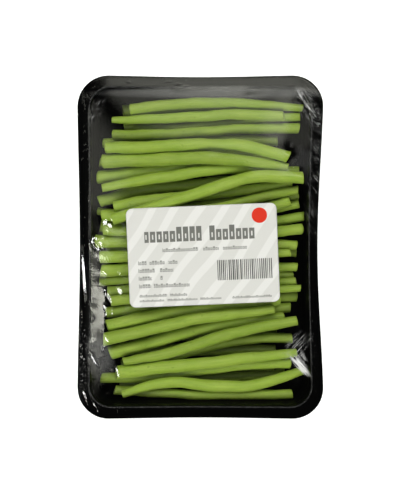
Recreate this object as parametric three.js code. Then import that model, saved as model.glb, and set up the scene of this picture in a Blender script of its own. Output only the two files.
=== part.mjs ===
// A pack of fine green beans, topped, tailed and laid side by side in a black thermoformed tray. A clear
// stretch film goes over them, round the rim and in under the base, and carries a paper label.
// Millimetres. X runs across the tray, along the beans, Y along the tray and Z up from its base.
import * as THREE from "three";

// ---------------------------------------------------------------- driving dimensions
const FILM_HALF_WIDTH = 68.3;
const FILM_HALF_LENGTH = 95;
const FILM_CORNER = 18;
const FILM_THICK = 0.4;
const AIR = 0.3; // clear space kept between pieces that touch on the real thing

const TRAY_INSET = FILM_THICK + AIR;
const TRAY_WALL = 1;
const RIM_TOP = 25;
const RIM_WIDTH = 5.5;
const RIM_LIP_DEPTH = 3.5;
const WALL_DRAFT = 5; // how far the wall leans in from the rim to the floor
const FLOOR_TOP = TRAY_INSET + TRAY_WALL;
const FLOOR_FILLET = 4;
const BASE_HEM = 32; // how far the film reaches in under the base

// How far the film's pull has drawn the middle of each side in. The rim's inner edge moves half as
// far as its outer edge, and the base doesn't move.
const BOW = { left: 1.5, right: 3.6, far: 1.1, near: 0.8 };

const LABEL = { x: 1.4, y: -4.4, width: 82, length: 54, corner: 3.4, turn: 2.4, thick: 0.3, lift: 0.5 };

// The net of lines that the tray and the film share.
const COLUMNS = 16;
const ROWS = 22;
const ARC_STEPS = 3;

const BEAN_SIDES = 8;
const BEAN_RINGS = 11;
const BEAN_GAP = 0.34;
const BEAN_BEND_RADIUS = 125; // a bean that lies over another droops no tighter than this

// ---------------------------------------------------------------- the beans
// Each row is one bean: its two ends along X, its Y at five even stations, its girth (diameter) at the
// left end, middle and right end. Rows are in the order in which the beans were laid in the tray.
const LAID_FIRST = [
  [-44.7, 46.9, [-77.2, -75.6, -74.0, -72.6, -71.6], [6.2, 6.4, 6.2]],
];
const LAID_LOW = [
  [-36.0, 45.0, [75.6, 77.8, 78.9, 77.8, 76.0], [5.6, 5.8, 5.4]],
  [-47.8, 50.8, [-79.9, -81.4, -82.2, -82.2, -81.9], [5.4, 5.2, 5.4]],
  [-42.5, 55.3, [66.7, 66.7, 68.3, 70.8, 72.5], [4.4, 4.4, 5.0]],
  [-54.2, 42.8, [58.1, 58.9, 59.9, 60.2, 59.1], [5.6, 5.4, 5.6]],
  [-56.4, 54.7, [47.2, 45.0, 43.3, 42.5, 42.5], [5.6, 5.0, 5.4]],
  [-33.6, 54.2, [21.5, 22.4, 24.4, 26.9, 27.8], [4.6, 5.0, 5.0]],
  [-57.2, 54.7, [20.0, 16.6, 16.2, 18.8, 23.9], [4.6, 4.6, 4.6]],
  [-52.5, 53.6, [-0.8, -0.6, 0.6, -0.6, -3.4], [4.4, 4.6, 4.5]],
  [-56.4, 51.4, [-19.4, -17.8, -16.7, -16.1, -15.8], [5.0, 4.8, 4.8]],
  [-50.3, 50.0, [-46.0, -41.7, -38.3, -35.6, -33.8], [5.6, 5.6, 5.6]],
  [-28.1, 50.8, [-63.9, -59.4, -54.4, -51.2, -51.0], [4.4, 5.2, 6.0]],
  [-55.3, 49.4, [-73.3, -72.8, -69.4, -65.6, -64.4], [5.8, 5.4, 6.0]],
];
const LAID_NEXT = [
  [-56.9, 39.7, [38.8, 41.5, 44.7, 48.3, 49.4], [7.2, 6.6, 6.6]],
  [-56.4, 46.9, [25.3, 32.0, 34.7, 37.2, 39.4], [7.0, 6.4, 6.2]],
  [-54.2, 31.9, [32.6, 36.6, 39.8, 43.0, 43.8], [4.6, 6.2, 6.0]],
  [-55.8, 57.5, [11.7, 10.6, 10.8, 12.6, 17.1], [6.6, 6.0, 5.3]],
  [-54.2, 49.2, [17.5, 16.8, 16.6, 18.4, 25.8], [6.4, 5.8, 5.6]],
  [-57.8, 53.1, [3.2, 2.9, 2.3, 1.6, 0.9], [7.2, 6.4, 5.4]],
  [-55.8, 49.7, [-5.6, -4.9, -4.3, -3.7, -3.1], [7.0, 6.0, 4.2]],
  [-55.3, 53.6, [-13.3, -12.0, -11.0, -10.8, -11.2], [7.4, 6.6, 4.8]],
  [-51.9, 53.1, [-25.0, -23.2, -21.8, -20.4, -19.1], [6.0, 5.2, 4.5]],
  [-52.5, 53.6, [-36.8, -33.2, -30.8, -28.8, -27.8], [6.2, 5.6, 5.4]],
  [-50.3, 46.0, [-59.0, -53.0, -46.2, -41.6, -38.6], [7.8, 7.0, 5.2]],
];
const LAID_LAST = [
  [-47.5, 50.3, [21.9, 26.4, 28.8, 31.7, 34.8], [7.4, 6.2, 3.8]],
  [-26.0, 53.6, [17.8, 19.6, 22.6, 27.8, 31.5], [4.6, 5.0, 5.0]],
  [-53.6, 55.8, [9.6, 8.0, 7.2, 7.6, 10.0], [6.2, 6.0, 6.2]],
  [-49.7, 55.3, [-30.0, -27.6, -25.8, -24.2, -22.8], [6.0, 5.4, 3.8]],
  [-38.6, 56.4, [76.1, 78.9, 80.0, 78.9, 77.1], [6.4, 5.8, 4.2]],
  [-48.6, 45.8, [70.3, 70.8, 72.6, 73.2, 72.2], [3.6, 6.0, 5.5]],
  [-48.3, 54.4, [62.3, 62.3, 64.1, 65.6, 66.0], [6.1, 5.8, 6.2]],
  [-53.6, 47.4, [47.3, 47.9, 48.7, 47.4, 43.4], [7.6, 7.0, 5.0]],
  [-51.9, 47.8, [54.7, 55.0, 56.4, 55.6, 49.2], [6.7, 6.7, 6.7]],
  [-51.9, 44.2, [-43.5, -38.3, -34.4, -31.8, -29.8], [6.4, 6.8, 5.0]],
  [-53.6, 40.6, [-51.1, -45.9, -40.2, -37.0, -34.1], [7.4, 6.7, 5.0]],
  [-46.4, 52.8, [-69.7, -66.9, -64.2, -61.1, -58.5], [7.8, 7.0, 4.7]],
  [-42.5, 53.1, [-63.3, -59.0, -51.4, -44.9, -40.6], [4.6, 6.6, 5.6]],
  [-43.1, 56.4, [-81.7, -75.0, -76.9, -76.1, -68.9], [4.5, 6.6, 5.0]],
  [-48.1, 55.8, [15.4, 22.6, 31.4, 38.4, 37.8], [6.4, 6.6, 6.6]],
];
const FLOOR_BEANS = 18;
const FLOOR_BEAN = { halfLength: 43, near: -66.5, far: 77, girth: 7.3 };
const DRAW_SEED = 7;

// A small seeded draw, so that the beans on the floor are the same every time.
function seededDraw(seed) {
  let state = seed;
  return () => {
    state = (state * 16807) % 2147483647;
    return state / 2147483647;
  };
}

function floorBeans() {
  const draw = seededDraw(DRAW_SEED);
  const rows = [];
  for (let k = 0; k < FLOOR_BEANS; k++) {
    const y = THREE.MathUtils.lerp(FLOOR_BEAN.near, FLOOR_BEAN.far, k / (FLOOR_BEANS - 1));
    const shift = 3 * (draw() - 0.5);
    const bend = 0.5 * (draw() - 0.5);
    const girth = FLOOR_BEAN.girth * (0.94 + 0.06 * draw());
    const left = -FLOOR_BEAN.halfLength + shift;
    const right = FLOOR_BEAN.halfLength + shift;
    rows.push([left, right, [y, y + bend, y + bend, y + bend, y], [girth * 0.9, girth, girth * 0.86]]);
  }
  return rows;
}

// ---------------------------------------------------------------- the outline of the pack
// Turns a point of the square -1..1 into a point of a rounded rectangle, evenly up to its edge.
function roundedPoint(u, v, halfX, halfY, corner) {
  let x = u * halfX;
  let y = v * halfY;
  const s = (Math.abs(x) - (halfX - corner)) / corner;
  const t = (Math.abs(y) - (halfY - corner)) / corner;
  if (s > 0 && t > 0) {
    x = Math.sign(x) * (halfX - corner + corner * s * Math.sqrt(1 - (t * t) / 2));
    y = Math.sign(y) * (halfY - corner + corner * t * Math.sqrt(1 - (s * s) / 2));
  }
  return [x, y];
}

// How much of the film's pull is felt this far in from the pack's edge.
function bowShare(inset) {
  const rim = TRAY_INSET + RIM_WIDTH;
  if (inset < rim) return 1 - (0.5 * inset) / rim;
  return Math.max(0, 0.5 * (1 - (inset - rim) / WALL_DRAFT));
}

// How far the side that x, or y, is nearest to has been drawn in, most at its middle.
const bulge = (share) => Math.cos((Math.PI / 2) * share) ** 2;
const bowX = (x, y) => (x > 0 ? BOW.right : BOW.left) * bulge(y / FILM_HALF_LENGTH);
const bowY = (x, y) => (y > 0 ? BOW.far : BOW.near) * bulge(x / FILM_HALF_WIDTH);

// A point of the square -1..1 on the pack: its edge is the pack's outline, drawn in by inset.
function packPoint(u, v, inset) {
  const corner = Math.max(FILM_CORNER - inset * 0.8, 8);
  const [x, y] = roundedPoint(u, v, FILM_HALF_WIDTH - inset, FILM_HALF_LENGTH - inset, corner);
  const share = bowShare(inset);
  return [
    x * (1 - (share * bowX(x, y)) / FILM_HALF_WIDTH),
    y * (1 - (share * bowY(x, y)) / FILM_HALF_LENGTH),
  ];
}

// Lines across the square -1..1, closer together where the corners' arcs are.
function linesAcross(count, halfSize) {
  const arcShare = FILM_CORNER / halfSize;
  const lines = [];
  for (let k = 0; k <= count; k++) {
    const fromEnd = Math.min(k, count - k);
    const straight = (1 - arcShare) * ((fromEnd - ARC_STEPS) / (count / 2 - ARC_STEPS));
    const inward = fromEnd <= ARC_STEPS ? (arcShare * fromEnd) / ARC_STEPS : arcShare + straight;
    lines.push(k <= count / 2 ? inward - 1 : 1 - inward);
  }
  return lines;
}

const ACROSS = linesAcross(COLUMNS, FILM_HALF_WIDTH);
const ALONG = linesAcross(ROWS, FILM_HALF_LENGTH);

// The edge of a grid, once round, starting at its first corner.
function gridEdge(grid) {
  const rows = grid.length - 1;
  const columns = grid[0].length - 1;
  const edge = [];
  for (let i = 0; i < columns; i++) edge.push(grid[0][i]);
  for (let j = 0; j < rows; j++) edge.push(grid[j][columns]);
  for (let i = columns; i > 0; i--) edge.push(grid[rows][i]);
  for (let j = rows; j > 0; j--) edge.push(grid[j][0]);
  return edge;
}

const SQUARE_EDGE = gridEdge(ALONG.map((v) => ACROSS.map((u) => [u, v])));

function packRing(inset, z) {
  return SQUARE_EDGE.map(([u, v]) => {
    const [x, y] = packPoint(u, v, inset);
    return new THREE.Vector3(x, y, z);
  });
}

// ---------------------------------------------------------------- building closed surfaces
class Faces {
  constructor() {
    this.corners = [];
  }
  triangle(a, b, c) {
    for (const p of [a, b, c]) this.corners.push(p.x, p.y, p.z);
  }
  quad(a, b, c, d) {
    this.triangle(a, b, c);
    this.triangle(a, c, d);
  }
  // Joins each ring to the next; the rings run anticlockwise seen from the side that faces out.
  rings(list) {
    for (let k = 0; k + 1 < list.length; k++) this.band(list[k], list[k + 1]);
  }
  band(inner, outer) {
    const n = inner.length;
    for (let i = 0; i < n; i++) {
      const j = (i + 1) % n;
      this.quad(inner[i], outer[i], outer[j], inner[j]);
    }
  }
  // Closes a ring with a fan round its middle.
  cap(ring, facesUp) {
    const middle = ring.reduce((sum, p) => sum.add(p), new THREE.Vector3()).divideScalar(ring.length);
    ring.forEach((p, i) => {
      const q = ring[(i + 1) % ring.length];
      if (facesUp) this.triangle(middle, p, q);
      else this.triangle(middle, q, p);
    });
  }
  // The quads of a grid of points, facing up, or down if turned.
  grid(points, turned) {
    for (let j = 0; j + 1 < points.length; j++) {
      for (let i = 0; i + 1 < points[0].length; i++) {
        const [a, b] = [points[j][i], points[j][i + 1]];
        const [c, d] = [points[j + 1][i + 1], points[j + 1][i]];
        if (turned) {
          this.triangle(a, c, b);
          this.triangle(a, d, c);
        } else {
          this.quad(a, b, c, d);
        }
      }
    }
  }
  geometry() {
    const made = new THREE.BufferGeometry();
    made.setAttribute("position", new THREE.Float32BufferAttribute(this.corners, 3));
    made.computeVertexNormals();
    return made;
  }
}

// ---------------------------------------------------------------- tray
// The tray's section, as [inset from the rim's edge, height] pairs, from the floor's middle out over
// the rim and back under to the base.
function traySection() {
  const t = TRAY_WALL;
  const wallFoot = RIM_WIDTH + WALL_DRAFT;
  const inside = [
    [wallFoot + FLOOR_FILLET, FLOOR_TOP],
    [wallFoot + FLOOR_FILLET * 0.35, FLOOR_TOP + 0.8],
    [wallFoot - 0.6, FLOOR_TOP + FLOOR_FILLET * 0.75],
    [RIM_WIDTH + 0.5, RIM_TOP - 1.3],
    [RIM_WIDTH - 0.3, RIM_TOP],
  ];
  const lip = [
    [1.1, RIM_TOP],
    [0.3, RIM_TOP - 0.4],
    [0, RIM_TOP - 1.3],
    [0, RIM_TOP - RIM_LIP_DEPTH],
    [t, RIM_TOP - RIM_LIP_DEPTH],
    [t, RIM_TOP - t - 0.4],
    [t + 0.5, RIM_TOP - t],
  ];
  const outside = [
    [RIM_WIDTH - 1, RIM_TOP - t],
    [RIM_WIDTH - 0.5, RIM_TOP - 1.6],
    [wallFoot - 1.6, FLOOR_TOP + FLOOR_FILLET * 0.6],
    [wallFoot + 0.4, FLOOR_TOP - t + 0.7],
    [wallFoot + FLOOR_FILLET, FLOOR_TOP - t],
  ];
  return [...inside, ...lip, ...outside];
}

function trayGeometry() {
  const rings = traySection().map(([inset, z]) => packRing(TRAY_INSET + inset, z));
  const faces = new Faces();
  faces.rings(rings);
  faces.cap(rings[0], true);
  faces.cap(rings[rings.length - 1], false);
  return faces.geometry();
}

// How far in from the pack's edge the tray's wall stands at a height.
function wallInset(z) {
  const share = (RIM_TOP - z) / (RIM_TOP - FLOOR_TOP);
  return TRAY_INSET + RIM_WIDTH + WALL_DRAFT * THREE.MathUtils.clamp(share, 0, 1);
}

// The lowest height at which a round of this radius, centred over x, y, clears the floor and the wall.
function trayHolds(x, y, radius) {
  const clears = (z) => {
    const inset = wallInset(z - radius);
    const share = bowShare(inset);
    const roomX = FILM_HALF_WIDTH - inset - share * bowX(x, y) - Math.abs(x);
    const roomY = FILM_HALF_LENGTH - inset - share * bowY(x, y) - Math.abs(y) - radius;
    return Math.min(roomX, roomY) > 3 * AIR;
  };
  let z = FLOOR_TOP + radius + AIR;
  while (z < RIM_TOP + radius && !clears(z)) z += 0.25;
  return z;
}

// ---------------------------------------------------------------- laying the beans
const BEAN_STATIONS = 41;

// A bean's plan: its x, y and radius at even stations, before it is given a height.
function beanPlan([left, right, ys, [girthLeft, girthMiddle, girthRight]]) {
  const spacing = (right - left) / (ys.length - 1);
  const route = new THREE.SplineCurve(ys.map((y, k) => new THREE.Vector2(left + spacing * k, y)));
  const plan = [];
  for (let k = 0; k < BEAN_STATIONS; k++) {
    const s = k / (BEAN_STATIONS - 1);
    const at = route.getPoint(s);
    const tangent = route.getTangent(s);
    const near = s < 0.5 ? girthLeft : girthRight;
    const toEnd = Math.abs(2 * s - 1);
    const girth = girthMiddle + (near - girthMiddle) * toEnd ** 1.6;
    plan.push({ x: at.x, y: at.y, radius: girth / 2, lean: 1 / Math.abs(tangent.x), z: 0 });
  }
  return plan;
}

// The bean's place and radius where it crosses a given x, or null past its ends.
function beanAt(bean, x) {
  const first = bean[0];
  const last = bean[bean.length - 1];
  if (x < first.x - 1.5 || x > last.x + 1.5) return null;
  const span = (last.x - first.x) / (bean.length - 1);
  const k = THREE.MathUtils.clamp((x - first.x) / span, 0, bean.length - 1.001);
  const a = bean[Math.floor(k)];
  const b = bean[Math.floor(k) + 1];
  const f = k - Math.floor(k);
  const mix = (name) => a[name] + (b[name] - a[name]) * f;
  return { y: mix("y"), z: mix("z"), radius: mix("radius"), lean: mix("lean") };
}

// Gives a bean the lowest heights at which it clears the tray and every bean laid before it, and lets it
// droop past what holds it up no more tightly than BEAN_BEND_RADIUS.
function settle(bean, laid) {
  const needed = bean.map((p) => {
    let z = trayHolds(p.x, p.y, p.radius);
    for (const other of laid) {
      const q = beanAt(other, p.x);
      if (!q) continue;
      const reach = (p.radius + BEAN_GAP / 2) * p.lean + (q.radius + BEAN_GAP / 2) * q.lean;
      const aside = Math.abs(p.y - q.y) / reach;
      if (aside < 1) z = Math.max(z, q.z + (p.radius + q.radius + BEAN_GAP) * Math.sqrt(1 - aside * aside));
    }
    return z;
  });
  bean.forEach((p) => {
    p.z = Math.max(...needed.map((z, k) => z - (bean[k].x - p.x) ** 2 / (2 * BEAN_BEND_RADIUS)));
  });
  laid.push(bean);
}

function layBeans() {
  const laid = [];
  const rows = [...LAID_FIRST, ...floorBeans(), ...LAID_LOW, ...LAID_NEXT, ...LAID_LAST];
  for (const row of rows) settle(beanPlan(row), laid);
  return laid;
}

// A bean as a closed tube of flat-sided rings, square to its run, with its two cut ends.
function beanGeometry(bean) {
  const curve = new THREE.CatmullRomCurve3(bean.map((p) => new THREE.Vector3(p.x, p.y, p.z)));
  const up = new THREE.Vector3(0, 0, 1);
  const rings = [];
  for (let k = 0; k < BEAN_RINGS; k++) {
    const s = k / (BEAN_RINGS - 1);
    const middle = curve.getPoint(s);
    const along = curve.getTangent(s).normalize();
    const side = new THREE.Vector3().crossVectors(up, along).normalize();
    const over = new THREE.Vector3().crossVectors(along, side);
    const radius = bean[Math.round(s * (BEAN_STATIONS - 1))].radius;
    const ring = [];
    for (let m = 0; m < BEAN_SIDES; m++) {
      const turn = (2 * Math.PI * (m + 0.5)) / BEAN_SIDES;
      const out = side.clone().multiplyScalar(Math.cos(turn)).addScaledVector(over, Math.sin(turn));
      ring.push(middle.clone().addScaledVector(out, radius));
    }
    rings.push(ring);
  }
  const faces = new Faces();
  faces.rings(rings.map((ring) => [...ring].reverse()));
  faces.cap(rings[0], false);
  faces.cap(rings[rings.length - 1], true);
  return faces.geometry();
}

// ---------------------------------------------------------------- film
const FILM_PASSES = 400;
const NET_INSET = TRAY_INSET + RIM_WIDTH - 0.3; // the net spans what the rim goes round

// A knot of the film's net, in plan.
const netPoint = (i, j) => packPoint(ACROSS[i], ALONG[j], NET_INSET);

// The height of the highest bean over x, y, or of the rim where there is none.
function topOf(x, y, beans) {
  let top = RIM_TOP;
  for (const bean of beans) {
    const q = beanAt(bean, x);
    if (!q) continue;
    const aside = Math.abs(y - q.y) / q.lean;
    if (aside < q.radius) top = Math.max(top, q.z + Math.sqrt(q.radius ** 2 - aside ** 2));
  }
  return top;
}

// Stretches a net over the beans from the rim: each knot is drawn to the mean of its neighbours, and
// held up by the highest thing within one mesh of it.
function filmHeights(beans) {
  const reach = [-1, -0.75, -0.5, -0.25, 0, 0.25, 0.5, 0.75, 1];
  const held = ALONG.map((v, j) =>
    ACROSS.map((u, i) => {
      if (i === 0 || j === 0 || i === COLUMNS || j === ROWS) return RIM_TOP;
      const [x, y] = netPoint(i, j);
      const [nextX] = netPoint(i + (i < COLUMNS / 2 ? 1 : -1), j);
      const [, nextY] = netPoint(i, j + (j < ROWS / 2 ? 1 : -1));
      const [stepX, stepY] = [nextX - x, nextY - y];
      const under = reach.flatMap((a) => reach.map((b) => topOf(x + a * stepX, y + b * stepY, beans)));
      return Math.max(...under);
    }),
  );
  const heights = held.map((row) => [...row]);
  for (let pass = 0; pass < FILM_PASSES; pass++) {
    for (let j = 1; j < ROWS; j++) {
      for (let i = 1; i < COLUMNS; i++) {
        const mean = (heights[j - 1][i] + heights[j + 1][i] + heights[j][i - 1] + heights[j][i + 1]) / 4;
        heights[j][i] = Math.max(held[j][i], mean);
      }
    }
  }
  return heights;
}

// One face of the film, standing this far off the tray: the net, and the rings round it that go over
// the rim, down to the base and in under it.
function filmFace(heights, off) {
  const net = heights.map((row, j) =>
    row.map((z, i) => {
      const [x, y] = netPoint(i, j);
      return new THREE.Vector3(x, y, z + off);
    }),
  );
  const in0 = TRAY_INSET;
  const baseEdge = in0 + RIM_WIDTH + WALL_DRAFT - 0.9 - off;
  const section = [
    [in0 + 1.1, RIM_TOP + off],
    [in0 + 0.3 - 0.7 * off, RIM_TOP - 0.4 + 0.7 * off],
    [in0 - off, RIM_TOP - 1.3],
    [in0 - off, RIM_TOP - RIM_LIP_DEPTH - off],
    [baseEdge, FLOOR_TOP - off],
    [baseEdge + 1.6, in0 - off],
    [baseEdge + BASE_HEM, in0 - off],
  ];
  return { net, around: [gridEdge(net), ...section.map(([inset, z]) => packRing(inset, z))] };
}

function filmGeometry(heights) {
  const outer = filmFace(heights, AIR + FILM_THICK);
  const inner = filmFace(heights, AIR);
  const faces = new Faces();
  faces.grid(outer.net, false);
  faces.rings([...outer.around, ...inner.around.reverse()]);
  faces.grid(inner.net, true);
  return faces.geometry();
}

// ---------------------------------------------------------------- label
const LABEL_COLUMNS = 12;
const LABEL_ROWS = 8;

// The film's height at x, y, read between the knots of its net.
function filmTopAt(heights, x, y) {
  const [u, v] = [x / (FILM_HALF_WIDTH - NET_INSET), y / (FILM_HALF_LENGTH - NET_INSET)];
  const a = ACROSS.findIndex((line) => line > u) - 1;
  const b = ALONG.findIndex((line) => line > v) - 1;
  const along = (u - ACROSS[a]) / (ACROSS[a + 1] - ACROSS[a]);
  const up = (v - ALONG[b]) / (ALONG[b + 1] - ALONG[b]);
  const near = THREE.MathUtils.lerp(heights[b][a], heights[b][a + 1], along);
  const far = THREE.MathUtils.lerp(heights[b + 1][a], heights[b + 1][a + 1], along);
  return THREE.MathUtils.lerp(near, far, up) + AIR + FILM_THICK;
}

function labelGeometry(heights) {
  const turn = THREE.MathUtils.degToRad(LABEL.turn);
  const face = (lift) => {
    const grid = [];
    for (let j = 0; j <= LABEL_ROWS; j++) {
      grid.push([]);
      for (let i = 0; i <= LABEL_COLUMNS; i++) {
        const [a, b] = roundedPoint(
          -1 + (2 * i) / LABEL_COLUMNS,
          -1 + (2 * j) / LABEL_ROWS,
          LABEL.width / 2,
          LABEL.length / 2,
          LABEL.corner,
        );
        const x = LABEL.x + a * Math.cos(turn) - b * Math.sin(turn);
        const y = LABEL.y + a * Math.sin(turn) + b * Math.cos(turn);
        grid[j].push(new THREE.Vector3(x, y, filmTopAt(heights, x, y) + lift));
      }
    }
    return grid;
  };
  const top = face(LABEL.lift + LABEL.thick);
  const under = face(LABEL.lift);
  const faces = new Faces();
  faces.grid(top, false);
  faces.band(gridEdge(top), gridEdge(under));
  faces.grid(under, true);
  return faces.geometry();
}

// ---------------------------------------------------------------- materials and assembly
const blackPlastic = new THREE.MeshStandardMaterial({ color: "#0a0b0a", roughness: 0.28, metalness: 0 });
const clearFilm = new THREE.MeshStandardMaterial({
  color: "#f2f4f2",
  roughness: 0.06,
  metalness: 0,
  transparent: true,
  opacity: 0.2,
});
const labelPaper = new THREE.MeshStandardMaterial({ color: "#e6e6df", roughness: 0.55, metalness: 0 });
const beanSkin = new THREE.MeshStandardMaterial({ color: "#8aa444", roughness: 0.42, metalness: 0 });

function part(name, geometry, material) {
  const mesh = new THREE.Mesh(geometry, material);
  mesh.name = name;
  return mesh;
}

const beans = layBeans();
const heights = filmHeights(beans);

const pack = new THREE.Group();
pack.add(part("tray", trayGeometry(), blackPlastic));
beans.forEach((bean, k) => {
  const number = String(k + 1).padStart(2, "0");
  pack.add(part(`bean_${number}`, beanGeometry(bean), beanSkin));
});
pack.add(part("film_wrap", filmGeometry(heights), clearFilm));
pack.add(part("label", labelGeometry(heights), labelPaper));

export default pack;
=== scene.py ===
# %% [markdown]
# # A tray pack of fine green beans
#
# Fine beans are sold topped and tailed, laid side by side in a black plastic tray. A clear stretch film
# is pulled over them and turned in under the base, and a paper label is stuck on top. This lesson builds
# the looks of such a pack over a plain frame that already holds every piece at its real size and place.
#
# The frame's box is kept, because the dressed pack has to stay inside it. Blender works in metres. The
# numbers below are in millimetres, as on a tray's drawing, and one factor turns them into metres where a
# mesh is made. Only the table and the lamps are laid out in metres.

# %% Load the frame and keep its box
import math

import bpy
import numpy as np
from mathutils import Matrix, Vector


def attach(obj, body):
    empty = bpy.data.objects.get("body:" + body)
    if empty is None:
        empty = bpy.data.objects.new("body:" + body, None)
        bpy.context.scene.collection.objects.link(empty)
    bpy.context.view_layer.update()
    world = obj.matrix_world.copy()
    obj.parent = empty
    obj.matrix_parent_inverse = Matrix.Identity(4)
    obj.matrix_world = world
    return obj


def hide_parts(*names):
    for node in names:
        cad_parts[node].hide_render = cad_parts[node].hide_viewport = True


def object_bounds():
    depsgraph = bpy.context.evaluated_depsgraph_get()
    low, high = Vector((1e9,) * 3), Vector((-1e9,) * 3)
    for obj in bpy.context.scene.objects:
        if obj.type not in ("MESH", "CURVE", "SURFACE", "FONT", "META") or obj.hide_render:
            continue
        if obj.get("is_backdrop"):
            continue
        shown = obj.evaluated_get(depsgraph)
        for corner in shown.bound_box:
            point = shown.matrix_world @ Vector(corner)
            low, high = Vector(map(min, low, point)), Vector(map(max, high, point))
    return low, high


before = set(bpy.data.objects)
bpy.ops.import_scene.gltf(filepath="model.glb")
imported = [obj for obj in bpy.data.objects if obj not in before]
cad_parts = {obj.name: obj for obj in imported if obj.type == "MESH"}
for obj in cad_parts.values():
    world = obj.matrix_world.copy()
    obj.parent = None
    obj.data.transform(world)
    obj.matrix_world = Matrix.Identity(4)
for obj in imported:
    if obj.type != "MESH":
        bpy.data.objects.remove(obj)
cad_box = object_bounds()
MM = 0.001
print("frame:", len(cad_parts), "pieces, box", [round(v / MM, 1) for corner in cad_box for v in corner])

# %% [markdown]
# ## Colours and nodes
#
# Colours are given as sRGB hex values. A shader works in linear light, so one function turns the
# one into the other. Another adds a node, sets it up and links it, so that each material below reads as a
# list of what it does.

# %% Helpers for materials
def linear(hex_colour):
    """An sRGB colour such as "#98ae51" as linear red, green, blue and an alpha of 1."""
    channels = [int(hex_colour[k : k + 2], 16) / 255 for k in (1, 3, 5)]
    curved = [c / 12.92 if c <= 0.04045 else ((c + 0.055) / 1.055) ** 2.4 for c in channels]
    return (*curved, 1.0)


def add(tree, kind, inputs=None, **settings):
    """Adds a node: settings are its properties. Inputs are values, outputs, or nodes' first outputs."""
    node = tree.nodes.new("ShaderNode" + kind)
    for name, value in settings.items():
        setattr(node, name, value)
    for name, value in (inputs or {}).items():
        if isinstance(value, bpy.types.Node):
            value = value.outputs[0]
        if isinstance(value, bpy.types.NodeSocket):
            tree.links.new(value, node.inputs[name])
        else:
            node.inputs[name].default_value = value
    return node


def new_material(name):
    """An empty node material and its tree."""
    material = bpy.data.materials.new(name)
    material.use_nodes = True
    material.node_tree.nodes.clear()
    return material, material.node_tree


# %% [markdown]
# ## Camera
#
# The pack is seen from straight above, with its long side upright in the picture. A long lens from 0.7 m
# keeps the tray's walls from showing. The lens follows from how many millimetres the picture's height
# spans at the height of the tray's rim.

# %% Place the camera above the rim
RIM_TOP = 25.0
CAMERA_DISTANCE = 700.0
PIXELS_PER_MM = 1.825
PICTURE_HEIGHT = 480
PICTURE_CENTRE_Y = 3.9
SENSOR = 36.0

camera_data = bpy.data.cameras.new("overhead_camera")
camera_data.sensor_width = SENSOR
camera_data.lens = SENSOR * CAMERA_DISTANCE / (PICTURE_HEIGHT / PIXELS_PER_MM)
camera = bpy.data.objects.new("overhead_camera", camera_data)
camera.location = (0, PICTURE_CENTRE_Y * MM, (RIM_TOP + CAMERA_DISTANCE) * MM)
bpy.context.scene.collection.objects.link(camera)
bpy.context.scene.camera = camera
print("lens:", round(camera_data.lens, 1), "mm")

# %% [markdown]
# ## Table and light
#
# Black plastic and clear film show mainly what they mirror, so the light decides their looks. Seen from
# above, everything flat mirrors the place above the camera. That stays dark, and so the long rims are
# black. What leans mirrors the boxes round it: windows and a pale wall beyond the far end grey the far rim
# and lay a veil over the first beans, and those at the left give a grey band and the sparkle on the film.
# They are ovals that fade to their edges, so that their images end softly. Three small bright lamps glint
# in wrinkles and light nothing else.
#
# The light on the beans comes from two low boxes beyond both ends and a dim one overhead. Their images
# would hide the beans, so they are hidden from glossy rays, as a polarising filter would hide them.

# %% White table
TABLE_HALF = 3.0
TABLE_GAP = 0.0002  # between the table and the foot of the pack

table_mesh = bpy.data.meshes.new("white_table")
h = TABLE_HALF
table_mesh.from_pydata([(-h, -h, 0), (h, -h, 0), (h, h, 0), (-h, h, 0)], [], [(0, 1, 2, 3)])
table = bpy.data.objects.new("white_table", table_mesh)
table.location.z = -TABLE_GAP
table.visible_glossy = False
bpy.context.scene.collection.objects.link(table)
table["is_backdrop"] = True

white_table, tree = new_material("white_table")
white = {"Base Color": linear("#f6f6f4"), "Roughness": 0.9}
bright = {"Emission Color": linear("#ffffff"), "Emission Strength": 0.9}  # it shows as the backdrop
add(tree, "OutputMaterial", {"Surface": add(tree, "BsdfPrincipled", {**white, **bright})})
table_mesh.materials.append(white_table)
print("table:", 2 * TABLE_HALF, "m wide")

# %% Soft boxes
WARM = "#fffff0"
WHITE = "#ffffff"

# Name, place and size in metres, brightness and fade.
WINDOWS = [
    ("far_pane", (0.1, 0.82, 1.19), (0.8, 0.3), 0.9, 0.3),
    ("far_window", (0.06, 0.82, 1.2), (0.84, 0.6), 0.48, 0.35),
    ("corner_window", (0.33, 0.46, 1.18), (0.42, 0.34), 0.7, 0.6),
    ("far_wall", (0.12, 0.52, 1.21), (1.0, 0.68), 0.46, 0.4),
    ("right_wall", (0.85, 0.4, 1.16), (1.1, 0.6), 0.3, 0.5),
    ("left_window", (-0.7, -0.13, 1.2), (0.36, 0.3), 1.0, 0.5),
    ("left_lamp", (-0.7, -0.098, 1.19), (0.34, 0.1), 6.4, 0.8),
    ("low_window", (-0.47, -0.24, 1.18), (0.56, 0.15), 0.95, 0.6),
    ("left_wall", (-0.7, 0.17, 1.17), (0.88, 0.5), 0.45, 0.6),
]
GLINT_LAMPS = [
    ("side_lamp", (-0.95, -0.43, 1.22), (0.6, 0.38), 13.0, 0.25),
    ("low_lamp", (-1.35, -0.13, 1.23), (0.6, 0.26), 16.0, 0.3),
    ("right_lamp", (0.8, 0.72, 1.24), (0.07, 0.07), 12.0, 0.3),
]
FILLS = [
    ("near_fill", (0.0, -0.9, 0.95), (1.4, 0.7), 4.75),
    ("far_fill", (0.0, 0.9, 0.95), (1.4, 0.7), 4.1),
    ("room_fill", (0.0, 0.3, 1.7), (2.4, 2.4), 0.6),
]


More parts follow.
